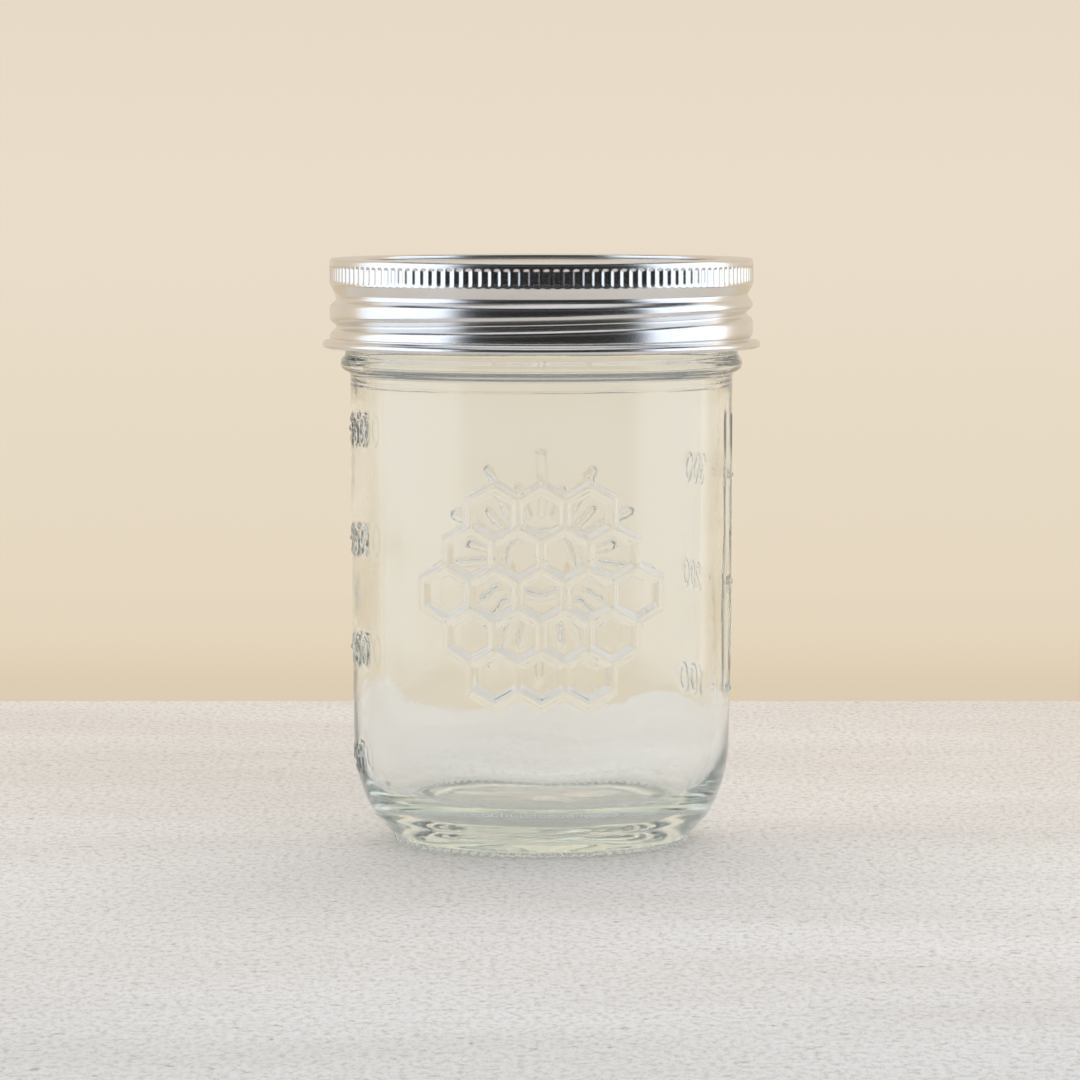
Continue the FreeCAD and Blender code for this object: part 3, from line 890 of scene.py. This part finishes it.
def wall_with_painted_shade():
    """Warm wall that shows its colour to the camera, to metal and through glass; the colour holds
    painted shade, darker towards the table where the wall falls into shadow.
    """
    material, sums, output = new_material("warm_wall_painted_shade")
    place = sums.node("ShaderNodeTexCoord")
    apart = sums.node("ShaderNodeSeparateXYZ")
    sums.put(apart.inputs[0], place.outputs["Object"])
    # painted shade: this ramp up the wall's height darkens the wall towards the table, where it
    # falls into shadow, and lightens it higher up
    painted_shade_ramp = sums.node("ShaderNodeValToRGB")
    stops = painted_shade_ramp.color_ramp.elements
    stops[0].position, stops[0].color = 0.0, srgb(221, 204, 177)
    stops[1].position, stops[1].color = 1.0, srgb(231, 218, 199)
    for where, colour in ((0.025, (221, 206, 179)), (0.09, (228, 213, 188)),
                          (0.16, (230, 216, 193)), (0.45, (232, 219, 198)),
                          (0.7, (234, 221, 202))):
        stop = stops.new(where)
        stop.color = srgb(*colour)
    sums.put(painted_shade_ramp.inputs[0], sums.do("DIVIDE", sums.do("ADD", apart.outputs[2], 0.139), 0.358))
    glow = sums.node("ShaderNodeEmission")
    sums.put(glow.inputs["Color"], painted_shade_ramp.outputs[0])
    plain = sums.node("ShaderNodeBsdfDiffuse")
    plain.inputs["Color"].default_value = srgb(231, 217, 195)
    path = sums.node("ShaderNodeLightPath")
    seen = sums.do("MAXIMUM", path.outputs["Is Camera Ray"],
                   sums.do("MAXIMUM", path.outputs["Is Glossy Ray"],
                           path.outputs["Is Transmission Ray"]))
    mix = sums.node("ShaderNodeMixShader")
    sums.put(mix.inputs[0], seen)
    sums.put(mix.inputs[1], plain.outputs[0])
    sums.put(mix.inputs[2], glow.outputs[0])
    sums.put(output.inputs["Surface"], mix.outputs[0])
    return material


def panel(name, corners, material):
    """Flat four-cornered stage piece."""
    data = bpy.data.meshes.new(name)
    data.from_pydata(corners, [], [(0, 1, 2, 3)])
    data.materials.append(material)
    made = bpy.data.objects.new(name, data)
    bpy.context.scene.collection.objects.link(made)


def lamp(name, place, aim, width, height, glow, edge=0.12, colour=(0.93, 0.97, 1.02)):
    """Soft box, dimmer along its edges. Glow is the brightness of its middle."""
    data = bpy.data.lights.new(name, "AREA")
    data.shape = "RECTANGLE"
    data.size, data.size_y = width, height
    data.energy = glow * math.pi * width * height
    data.color = colour
    data.use_nodes = True
    sums = Sums(data.node_tree)
    spot = sums.node("ShaderNodeNewGeometry")
    apart = sums.node("ShaderNodeSeparateXYZ")
    sums.put(apart.inputs[0], spot.outputs["Parametric"])
    off = sums.do("ABSOLUTE", sums.do("SUBTRACT", apart.outputs[0], 0.5))
    sums.put(data.node_tree.nodes["Emission"].inputs["Strength"],
             sums.map(off, 0.5 - edge, 0.5, 1.0, 0.1))
    made = bpy.data.objects.new(name, data)
    bpy.context.scene.collection.objects.link(made)
    made.visible_camera = False
    made.visible_transmission = False
    made.location = place
    made.rotation_euler = (Vector(aim) - Vector(place)).to_track_quat("-Z", "Y").to_euler()
    return made


def side_lamp(name, azimuth, distance, width, height, base, glow):
    """Upright soft box round the jar, azimuth from the camera's side, positive to the right."""
    turn = math.radians(azimuth)
    place = (distance * math.sin(turn), -distance * math.cos(turn), base + height / 2)
    lamp(name, place, (0, 0, base + height / 2), width, height, glow,
         edge=0.2, colour=(0.87, 0.97, 1.12))


def studio_world():
    """Pale all round to the camera and through glass, dim on metal but for two soft stretches."""
    world = bpy.data.worlds.new("studio")
    bpy.context.scene.world = world
    world.use_nodes = True
    sums = Sums(world.node_tree)
    ray = sums.node("ShaderNodeLightPath").outputs
    sky = world.node_tree.nodes["Background"]
    sky.inputs["Color"].default_value = (0.97, 0.98, 1.0, 1)
    seen = sums.do("MAXIMUM", ray["Is Camera Ray"], ray["Is Transmission Ray"])
    look = sums.node("ShaderNodeSeparateXYZ")
    sums.put(look.inputs[0], sums.node("ShaderNodeTexCoord").outputs["Generated"])
    up = look.outputs[2]
    low_stretch = sums.do("MULTIPLY", sums.map(up, 0.10, 0.22), sums.map(up, 0.32, 0.45, 1.0, 0.0))
    overhead = sums.map(up, 0.78, 0.88, 0.0, 0.95)
    on_metal = sums.do("MULTIPLY_ADD", low_stretch, 0.13, overhead)
    strength = sums.do("MULTIPLY_ADD", on_metal, ray["Is Glossy Ray"], 0.015)
    strength = sums.do("MULTIPLY_ADD", seen, 0.78, strength)
    strength = sums.do("MULTIPLY_ADD", ray["Is Diffuse Ray"], 0.15, strength)
    sums.put(sky.inputs["Strength"], strength)


def front_camera():
    """Camera before the honeycomb, a little above the lid and looking slightly down."""
    data = bpy.data.cameras.new("camera")
    data.lens = 178.03
    data.sensor_width = 36
    data.clip_end = 20
    camera = bpy.data.objects.new("camera", data)
    bpy.context.scene.collection.objects.link(camera)
    camera.location = (-0.0003, -1.121, 0.1468)
    camera.rotation_euler = (math.radians(90 - 4.25), 0, 0)
    bpy.context.scene.camera = camera


panel("table_top", [(-0.31, -0.32, 0), (0.31, -0.32, 0), (0.31, 0.281, 0), (-0.31, 0.281, 0)],
      stone_top())
panel("back_wall", [(-4, 1.6, -1.0), (4, 1.6, -1.0), (4, 1.6, 3.0), (-4, 1.6, 3.0)],
      wall_with_painted_shade())

side_lamp("left_box", azimuth=-80, distance=1.16, width=1.8, height=1.35, base=-0.25, glow=1.5)
side_lamp("right_box", azimuth=87.5, distance=1.16, width=1.6, height=1.35, base=-0.25, glow=1.5)
top_box = lamp("top_box", (0, 0.75, 1.6), (0, 0.1, 0), width=2.2, height=1.7, glow=2.35)
front_fill = lamp("front_fill", (0.4, -1.3, 1.3), (0, 0, 0), width=2.0, height=1.0, glow=2.9)
for soft in (top_box, front_fill):
    soft.visible_glossy = False
studio_world()
front_camera()
bpy.context.scene.view_settings.view_transform = "Standard"

# light goes many times to and fro inside the thick glass before it leaves
paths = bpy.context.scene.cycles
paths.max_bounces = 20
paths.glossy_bounces = 14
paths.transmission_bounces = 20
